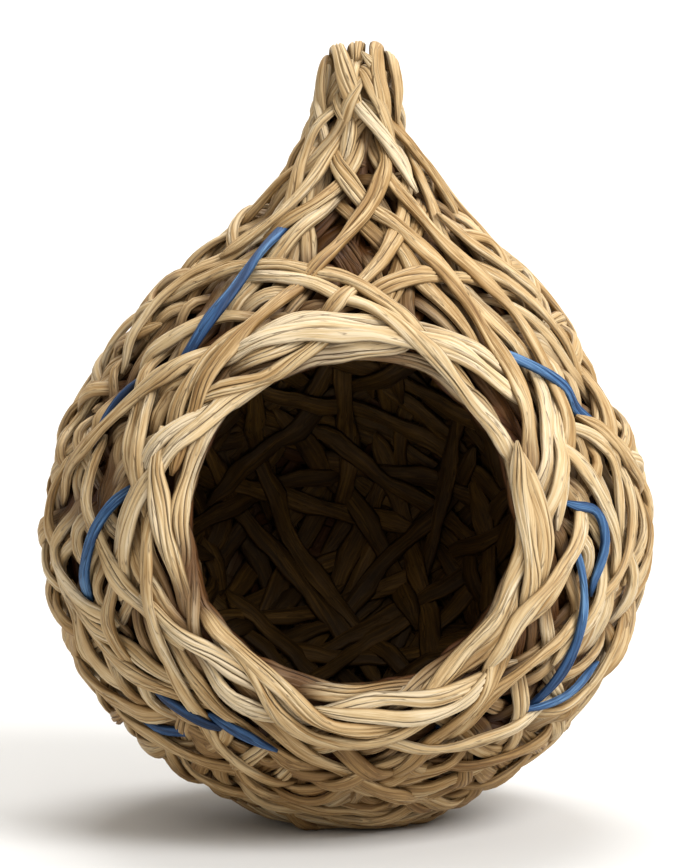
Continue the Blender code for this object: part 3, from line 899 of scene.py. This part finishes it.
def strip_mesh(name, strands, grooves, under_count, salt):
    """Sweeps a lobed strip section along every strand.

    The outer side is an arch, thick * (1 - u^2)^0.5 over -1 < u < 1, cut by grooves
    that wander along the strand and fade in and out; the inner side is the same arch,
    shallower.  One edge bulges where the other draws in, and both ends narrow to a
    rounded point.
    """
    strand, along = strands.strand, strands.along
    count = len(strand)
    places = np.arange(count)
    reach = np.clip((strands.end + 0.5) / 9.0, 0, 1)
    taper = np.clip(1 - (1 - reach) ** 2, 0.02, 1) ** 0.7
    wide = strands.half_width * taper
    wide = wide * (1 + ripple(strand, along, (27, 13), (0.14, 0.07), salt + 5))
    skew = ripple(strand, along, (33, 15), (0.13, 0.08), salt + 8)
    thick = strands.half_thick * (1 + ripple(strand, along, (29, 12), (0.09, 0.05), salt + 6))
    thick = thick * (0.35 + 0.65 * taper)
    roll = ripple(strand, along, (46, 21), (0.20, 0.07), salt + 7)
    side = np.cross(strands.run, strands.normal)
    side /= np.maximum(np.linalg.norm(side, axis=1), 1e-9)[:, None]
    up = np.cross(side, strands.run)
    side, up = (
        side * np.cos(roll)[:, None] + up * np.sin(roll)[:, None],
        up * np.cos(roll)[:, None] - side * np.sin(roll)[:, None],
    )

    zero = np.zeros(count)
    gap = 0.13                  # half width of a groove, where the half strip is 1
    # Near both edges the groove value rises to 0.8: painted shade along the edges where strands
    # meet.
    knots = [zero - 1, zero - 0.9]
    groove_depth_and_shade = [zero + 0.8, zero + 0.25]
    before = zero - 0.9
    force_of = np.random.default_rng(salt).random((strand.max() + 1, max(grooves, 1)))
    drift = ripple(strand, along, (70, 31), (0.16, 0.08), salt + 9)
    # Each groove thins the strip by half its strength and gets painted shade of that strength
    # to the power 1.6 in the material.
    for number, middle in enumerate(np.linspace(-1, 1, grooves + 2)[1:-1]):
        line = middle + ripple(strand, along, (47, 21), (0.07, 0.04), salt + 11 + number)
        line = np.clip(line + drift, -0.74, 0.74)
        force = force_of[strand, number] * 1.3 - 0.1
        force = force + ripple(strand, along, (43, 17), (0.4, 0.2), salt + 31 + number)
        knots += [(before + line - gap) / 2, line - gap, line, line + gap]
        groove_depth_and_shade += [zero, zero, np.clip(force, 0.0, 1.0), zero]
        before = line + gap
    knots += [(before + 0.9) / 2, zero + 0.9, zero + 1]
    groove_depth_and_shade += [zero, zero + 0.25, zero + 0.8]
    u = np.stack(knots, axis=1)
    groove_depth_and_shade = np.stack(groove_depth_and_shade, axis=1)
    arch = (1 - u ** 2).clip(0, 1) ** 0.5
    high = arch * thick[:, None] * (1 - 0.5 * groove_depth_and_shade)
    under = np.tile(np.linspace(0.8, -0.8, under_count), (count, 1))
    low = -0.75 * (1 - under ** 2) ** 0.5 * thick[:, None]
    u = np.concatenate([u, under], axis=1)
    high = np.concatenate([high, low], axis=1)
    groove_depth_and_shade = np.concatenate([groove_depth_and_shade, 0 * under], axis=1)

    ring = u.shape[1]
    verts = (
        strands.points[:, None, :]
        + side[:, None, :] * (u * (1 + skew[:, None] * u) * wide[:, None])[:, :, None]
        + up[:, None, :] * high[:, :, None]
    )
    verts[:, :, 2] = np.maximum(verts[:, :, 2], LOWEST)
    row = places[strands.same_next]
    around = np.arange(ring)
    ahead = (around + 1) % ring
    quads = np.stack([
        row[:, None] * ring + around, row[:, None] * ring + ahead,
        (row[:, None] + 1) * ring + ahead, (row[:, None] + 1) * ring + around,
    ], axis=2).reshape(-1, 4)
    caps_start = (places[strands.start][:, None] * ring + around[::-1]).reshape(-1)
    caps_stop = (places[strands.stop][:, None] * ring + around).reshape(-1)
    corners = np.concatenate([quads.reshape(-1), caps_start, caps_stop]).astype(np.int32)
    totals = np.concatenate([
        np.full(len(quads), 4), np.full(strands.start.sum() + strands.stop.sum(), ring),
    ]).astype(np.int32)
    starts = np.concatenate([[0], np.cumsum(totals)[:-1]]).astype(np.int32)

    mesh = bpy.data.meshes.new(name)
    mesh.vertices.add(count * ring)
    mesh.vertices.foreach_set("co", (verts * MM).reshape(-1).astype(np.float32))
    mesh.loops.add(len(corners))
    mesh.loops.foreach_set("vertex_index", corners)
    mesh.polygons.add(len(totals))
    mesh.polygons.foreach_set("loop_start", starts)
    mesh.polygons.foreach_set("loop_total", totals)
    mesh.polygons.foreach_set("use_smooth", np.ones(len(totals), bool))
    mesh.update(calc_edges=True)
    shift = np.random.default_rng(salt + 3).random(strand.max() + 1)[strand] * 400
    slant = np.random.default_rng(salt + 4).uniform(-0.08, 0.08, strand.max() + 1)[strand]
    across = u * strands.half_width[:, None] + (shift * 0.2 + slant * along)[:, None]
    both = np.stack([across.reshape(-1), np.repeat(along + shift, ring)], axis=1)
    layer = mesh.uv_layers.new(name="strip")
    layer.data.foreach_set("uv", both[corners].reshape(-1).astype(np.float32))
    # The material reads the groove strength for its painted shade, the random colour value with
    # painted light and shade, and the painted shade for lying under others.
    for label, values in (
        ("groove_depth_and_shade", groove_depth_and_shade.reshape(-1)), ("tone", np.repeat(strands.tone, ring)),
        ("depth_shade", np.repeat(strands.depth_shade, ring)),
    ):
        attribute = mesh.attributes.new(label, "FLOAT", "POINT")
        attribute.data.foreach_set("value", values.astype(np.float32))
    piece = bpy.data.objects.new(name, mesh)
    bpy.context.scene.collection.objects.link(piece)
    return piece


# ---------------------------------------------------------------- materials
def from_hex(code):
    """An sRGB hex colour as linear RGBA."""
    parts = [int(code[i:i + 2], 16) / 255 for i in (1, 3, 5)]
    linear = [p / 12.92 if p <= 0.04045 else ((p + 0.055) / 1.055) ** 2.4 for p in parts]
    return (*linear, 1.0)


def add(tree, kind, inputs=None, **settings):
    """Adds a node; inputs are values or other nodes' sockets, by name or number."""
    node = tree.nodes.new(kind)
    for name, value in settings.items():
        setattr(node, name, value)
    for name, value in (inputs or {}).items():
        socket = node.inputs[name]
        if isinstance(value, bpy.types.NodeSocket):
            tree.links.new(value, socket)
        else:
            socket.default_value = value
    return node


# Noise of split rush: patches a mm across and along the strip, and octaves.
RUSH_PATTERNS = (
    (4.5, 0.14, 3.0),       # fibres, 0.2 mm across and 7 mm long
    (1.25, 0.03, 1.0),      # ribs, 0.8 mm across and 33 mm long
    (0.85, 0.06, 2.0),      # where it splits, 1.2 mm across and 17 mm long
    (0.22, 0.05, 3.0),      # blotches, 4.5 mm across and 20 mm long
)


def strip_material(name, colours, groove_shade_colour, depth_shade_colour, roughness):
    """Split dry rush: fine fibres, soft ribs, thin broken cracks, paler where the ribs rise.

    Shade = the strand's colour value, which holds painted light and shade, + 0.9 blotches
    + 0.9 ribs + 0.6 fibres - 1.2, through a ramp.  A crack is where the splitting noise is
    near its middle, on ribs only; it and the grooves of the mesh take the groove shade colour,
    a painted shade.  Strands that lie under others are multiplied darker, a painted shade.
    """
    mat = bpy.data.materials.new(name)
    mat.use_nodes = True
    tree = mat.node_tree
    tree.nodes.clear()
    math_kind = "ShaderNodeMath"
    uv = add(tree, "ShaderNodeUVMap", uv_map="strip").outputs["UV"]
    patterns = []
    for across, along, octaves in RUSH_PATTERNS:
        place_on = add(tree, "ShaderNodeMapping", {"Vector": uv, "Scale": (across, along, 1.0)})
        patterns.append(add(tree, "ShaderNodeTexNoise", {
            "Vector": place_on.outputs["Vector"], "Scale": 1.0, "Detail": octaves,
            "Roughness": 0.55,
        }, noise_dimensions="2D").outputs["Fac"])
    fibre, ribs, split, blotch = patterns
    tone, groove_depth_and_shade, depth_shade = (
        add(tree, "ShaderNodeAttribute", attribute_name=label).outputs["Fac"]
        for label in ("tone", "groove_depth_and_shade", "depth_shade")
    )

    shade = add(tree, math_kind, {0: tone, 1: -1.2}, operation="ADD").outputs[0]
    for pattern, strength in ((blotch, 0.9), (ribs, 0.9), (fibre, 0.6)):
        shade = add(
            tree, math_kind, {0: pattern, 1: strength, 2: shade}, operation="MULTIPLY_ADD",
        ).outputs[0]
    ramp = add(tree, "ShaderNodeValToRGB", {"Fac": shade})
    while len(ramp.color_ramp.elements) < len(colours):
        ramp.color_ramp.elements.new(0.5)
    for element, (position, colour) in zip(ramp.color_ramp.elements, colours):
        element.position = position
        element.color = from_hex(colour)

    # Thin broken cracks on the ribs; they and the mesh's grooves are drawn towards the groove
    # shade colour: painted shade.
    off_middle = add(tree, math_kind, {0: split, 1: 0.5}, operation="SUBTRACT").outputs[0]
    off_middle = add(tree, math_kind, {0: off_middle}, operation="ABSOLUTE").outputs[0]
    crack_shade = add(
        tree, math_kind, {0: off_middle, 1: -28.0, 2: 1.0}, operation="MULTIPLY_ADD",
        use_clamp=True,
    ).outputs[0]
    on_ribs = add(
        tree, math_kind, {0: ribs, 1: 4.0, 2: -1.6}, operation="MULTIPLY_ADD", use_clamp=True,
    ).outputs[0]
    crack_shade = add(tree, math_kind, {0: crack_shade, 1: on_ribs}, operation="MULTIPLY").outputs[0]
    crack_shade = add(tree, math_kind, {0: crack_shade, 1: 0.7}, operation="MULTIPLY").outputs[0]
    line = add(tree, math_kind, {0: groove_depth_and_shade, 1: 1.6}, operation="POWER").outputs[0]
    line = add(tree, math_kind, {0: line, 1: crack_shade}, operation="MAXIMUM").outputs[0]
    colour = add(tree, "ShaderNodeMix", {
        0: line, 6: ramp.outputs["Color"], 7: from_hex(groove_shade_colour),
    }, data_type="RGBA").outputs[2]
    # Strands that lie under others are multiplied towards the depth shade colour: painted
    # shade.
    colour = add(tree, "ShaderNodeMix", {
        0: depth_shade, 6: colour, 7: from_hex(depth_shade_colour),
    }, data_type="RGBA", blend_type="MULTIPLY").outputs[2]

    height = ribs
    for pattern, strength in ((fibre, 0.35), (line, -0.6)):
        height = add(
            tree, math_kind, {0: pattern, 1: strength, 2: height}, operation="MULTIPLY_ADD",
        ).outputs[0]
    bump = add(tree, "ShaderNodeBump", {
        "Height": height, "Strength": 0.8, "Distance": 0.0004,
    })
    shader = add(tree, "ShaderNodeBsdfPrincipled", {
        "Base Color": colour, "Roughness": roughness, "Normal": bump.outputs["Normal"],
        "IOR": 1.45, "Specular IOR Level": 0.35,
    })
    add(tree, "ShaderNodeOutputMaterial", {"Surface": shader.outputs["BSDF"]})
    return mat


def white_paper():
    # A sheet of matt white paper: even, without gloss, so shadows on it stay soft.
    mat = bpy.data.materials.new("matt_white_paper")
    mat.use_nodes = True
    shader = mat.node_tree.nodes["Principled BSDF"]
    shader.inputs["Base Color"].default_value = from_hex("#D2D2D1")
    shader.inputs["Roughness"].default_value = 0.95
    return mat


def dried_rush():
    # Tan dried rush, split and twisted by hand: pale straw ridges, a brown painted shade in its
    # cracks and grooves, and a darker brown painted shade where it lies under other strands.
    return strip_material(
        "split_rush_dried", [
            (0.0, "#775730"), (0.3, "#9A7A4C"), (0.52, "#B5986C"), (0.75, "#C5AD84"),
            (1.0, "#D3C1A1"),
        ], "#3F2509", "#6E4E26", 0.58,
    )


def dyed_rush():
    # The same rush dyed blue: paler along its ribs, a near navy painted shade in its cracks and
    # grooves, and a grey-blue painted shade where it lies under others.
    return strip_material(
        "split_rush_dyed_blue", [
            (0.0, "#0B182B"), (0.3, "#152C4B"), (0.5, "#213F66"), (0.75, "#375C86"),
            (1.0, "#5D82A8"),
        ], "#081120", "#4A5A72", 0.55,
    )


def lining_rush_painted_shade():
    # Rush of the lining: a darker brown than the outside's, a painted shade for the inside of
    # the nest, with little contrast; where it lies under others it darkens only a little.
    return strip_material(
        "split_rush_lining", [
            (0.0, "#40321D"), (0.4, "#604C2C"), (0.7, "#80673E"), (1.0, "#A28553"),
        ], "#261A0C", "#D2C09A", 0.6,
    )


# ---------------------------------------------------------------- the nest
def make_outer_weave():
    """All strands of the outer weave, laid, spread and settled together."""
    weave = Weave()
    cover = Cover()
    groups = (
        ("shoulder", SHOULDER_ROUTES), ("rim", RIM_ROUTES), ("left", LEFT_ROUTES),
        ("right", RIGHT_ROUTES), ("belly", BELLY_ROUTES), ("neck", NECK_ROUTES),
    )
    for group, routes in groups:
        for route in routes:
            level, angle, way = through(route)
            angle, way = longer(angle, way, 2.0 if group == "neck" else 9.0)
            weave.add(LEVELS[level], angle, way, group, swing=0.25, firm=0.88)
            cover.add(angle, way)
    for route in DYED_ROUTES:
        level, angle, way = through(route)
        angle, way = longer(angle, way, 4.0)
        weave.add(LEVELS[level] - DYED_LIFT, angle, way, "dyed", 0.74, 0.1, 3.5, 0.95)
    for depth, start, length, radius in RIM_RINGS:
        turn = np.radians(start) + np.arange(0, math.radians(length), STEP / radius)
        meander = radius + 0.8 * np.sin(turn * 3.3 + start)
        angle, way = round_hole(turn, meander)
        weave.add(depth, np.unwrap(angle), way, "rim", swing=0.5, firm=0.6)
        cover.add(angle, way)
    for wish, wanted, most, group in (
        (0.9, 0.95, 150, "free"), (1.8, 1.8, 180, "free"), (3.4, 2.5, 160, "under"),
    ):
        for angle, way in free_family(cover, wanted, (22, 62), (60, 150), most):
            share = front_share(angle, way)
            swing = 1.1 if way.mean() < 165 else 0.5
            weave.add(wish + 2.1 * share, angle, way, group, swing=swing, firm=0.0)
    weave.close()
    keep_clear(weave, 12)
    spread_sideways(weave, 40)
    keep_clear(weave, 12)
    settle_depths(weave)
    keep_clear(weave, 14)
    return weave


def make_lining():
    """Two coarse layers inside the outer weave, seen only through the entrance."""
    lining = Weave()
    for depth, wanted in ((10.2, 1.35), (8.4, 1.35)):
        cover = Cover()
        strands = free_family(cover, wanted, (18, 75), (80, 170), 110, HOLE_RADIUS + 10.0)
        for angle, way in strands:
            lining.add(depth, angle, way, "lining", 1.1, 0.6, -0.8, 0.0)
    lining.close()
    spread_sideways(lining, 12)
    settle_depths(lining, 60, 7.6)
    keep_clear(lining, 14)
    return lining


def crown_core(points):
    """The loops of the crown face away from a core inside the top of the neck."""
    centre = np.array([NECK_LEAN, 0.0, 0.0])
    core = centre + (points - centre) * 0.35
    core[:, 2] = np.minimum(points[:, 2] - 3.0, 167.0)
    return core


def base_core(points):
    """The base's strands face away from a point 5 mm above each of their nodes."""
    return points + np.array([0.0, 0.0, 5.0])


def base_paths():
    """Two crossed layers of chords over the base, resting on the floor."""
    paths = []
    for turn, lift in ((0.3, 1.05), (1.9, 2.7)):
        for off in np.arange(-22.0, 22.1, 4.4):
            half = math.sqrt(27.0 ** 2 - off ** 2)
            run = np.linspace(-half, half, 9)
            radius = np.hypot(run, off)
            rise = np.interp(radius, WAY_R[SIDE_FROM:200], WAY_Z[SIDE_FROM:200])
            paths.append(np.stack([
                run * math.cos(turn) - off * math.sin(turn),
                run * math.sin(turn) + off * math.cos(turn),
                lift + rise,
            ], axis=1))
    return paths


def show(piece, mat, nodes=()):
    """Gives a piece its material, puts it under the root body and hides the part's nodes that
    it stands for.
    """
    piece.data.materials.append(mat)
    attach(piece, "root")
    if nodes:
        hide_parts(*nodes)


def cad_nodes(start):
    """Names of the part's nodes that begin with a word."""
    return [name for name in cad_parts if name.startswith(start)]


def make_nest():
    """All pieces of the nest: outer weave, crown, base and lining."""
    rush = dried_rush()
    weave = make_outer_weave()
    for group, slot, nodes in (
        ("shoulder", "straw_strand", cad_nodes("strand_leaning")),
        ("rim", "rim_strand", cad_nodes("rim_strand")),
        ("left", "straw_strand", ()),
        ("right", "straw_strand", ()),
        ("belly", "straw_strand", ()),
        ("neck", "straw_strand", cad_nodes("neck_strand")),
    ):
        strands = strands_of(weave, weave.group == group)
        piece = strip_mesh(group + "_strands", strands, 3, 5, 10)
        show(piece, rush, nodes)
    piece = strip_mesh("dyed_strands", strands_of(weave, weave.group == "dyed"), 2, 3, 60)
    show(piece, dyed_rush(), cad_nodes("dyed"))

    numbers = np.unique(weave.strand[weave.group == "free"])
    for count, chunk in enumerate(np.array_split(numbers, 4)):
        strands = strands_of(weave, np.isin(weave.strand, chunk))
        piece = strip_mesh(f"body_strands_{count + 1}", strands, 2, 2, 100 + 50 * count)
        show(piece, rush)
    piece = strip_mesh("under_strands", strands_of(weave, weave.group == "under", 2), 1, 2, 350)
    show(piece, rush)

    loops = [
        [(x + NECK_LEAN, y, z) for x, y, z in path] for path in CROWN_LOOPS
    ]
    piece = strip_mesh(
        "crown_loops", strands_through(loops, crown_core, 1.95, 0.95, 0.0), 3, 5, 400,
    )
    show(piece, rush, cad_nodes("crown_loop"))
    # The base's strands carry 0.15 of the full painted shade, as they lie under the nest.
    piece = strip_mesh(
        "base_strands", strands_through(base_paths(), base_core, 2.1, 0.95, 0.15), 2, 3, 450,
    )
    show(piece, rush)

    lining = make_lining()
    strands = strands_of(lining, lining.group == "lining", 2)
    piece = strip_mesh("inner_weave", strands, 0, 3, 500)
    show(piece, lining_rush_painted_shade(), cad_nodes("woven_wall"))


# ---------------------------------------------------------------- setting, light, camera
def make_setting():
    """A floor that curves up behind into a wall: quarter circle of radius 0.8 m."""
    reach = 3.0
    bend_from = 1.6
    radius = 0.8
    top = 3.5
    bend = np.radians(np.linspace(0, 90, 25))
    y = np.concatenate([[-reach], bend_from + radius * np.sin(bend), [bend_from + radius]])
    z = np.concatenate([[0.0], radius - radius * np.cos(bend), [top]])
    rows = len(y)
    verts = np.stack([np.repeat([-reach, reach], rows), np.tile(y, 2), np.tile(z, 2)], axis=1)
    i = np.arange(rows - 1)
    faces = np.stack([i, i + rows, i + rows + 1, i + 1], axis=1)
    mesh = bpy.data.meshes.new("floor")
    mesh.from_pydata(verts.tolist(), [], faces.tolist())
    mesh.polygons.foreach_set("use_smooth", [True] * len(faces))
    floor = bpy.data.objects.new("floor", mesh)
    bpy.context.scene.collection.objects.link(floor)
    mesh.materials.append(white_paper())


def make_light():
    """A warm even sky, a soft key light from the right, and one light for the backdrop."""
    world = bpy.data.worlds.new("soft_studio")
    bpy.context.scene.world = world
    world.use_nodes = True
    background = world.node_tree.nodes["Background"]
    background.inputs["Color"].default_value = (1, 0.92, 0.82, 1)
    background.inputs["Strength"].default_value = 0.50
    for name, spot, target, size, power in (
        ("key_light", (0.76, -0.74, 0.94), (0, 0, 0.08), 0.7, 23),
        ("low_fill_light", (0.15, -1.15, 0.74), (0, 0, 0.07), 0.4, 1.6),
        ("backdrop_light", (0, 1.0, 2.6), (0, 2.4, 0.4), 1.5, 95),
    ):
        data = bpy.data.lights.new(name, "AREA")
        data.size = size
        data.energy = power
        lamp = bpy.data.objects.new(name, data)
        bpy.context.scene.collection.objects.link(lamp)
        lamp.location = spot
        aim = Vector(target) - lamp.location
        lamp.rotation_euler = aim.to_track_quat("-Z", "Y").to_euler()


def make_camera():
    """A long lens 1.2 m from the nest, 6 degrees above the level of its middle."""
    data = bpy.data.cameras.new("camera")
    data.lens = 222.5
    data.sensor_width = 36
    data.clip_end = 20
    camera = bpy.data.objects.new("camera", data)
    bpy.context.scene.collection.objects.link(camera)
    tilt = math.radians(6)
    off = 1.2
    middle = 0.0868
    camera.location = (0, -off * math.cos(tilt), middle + off * math.sin(tilt))
    camera.rotation_euler = (math.radians(90) - tilt, 0, 0)
    bpy.context.scene.camera = camera
    bpy.context.scene.view_settings.view_transform = "Standard"


make_nest()
make_setting()
make_light()
make_camera()
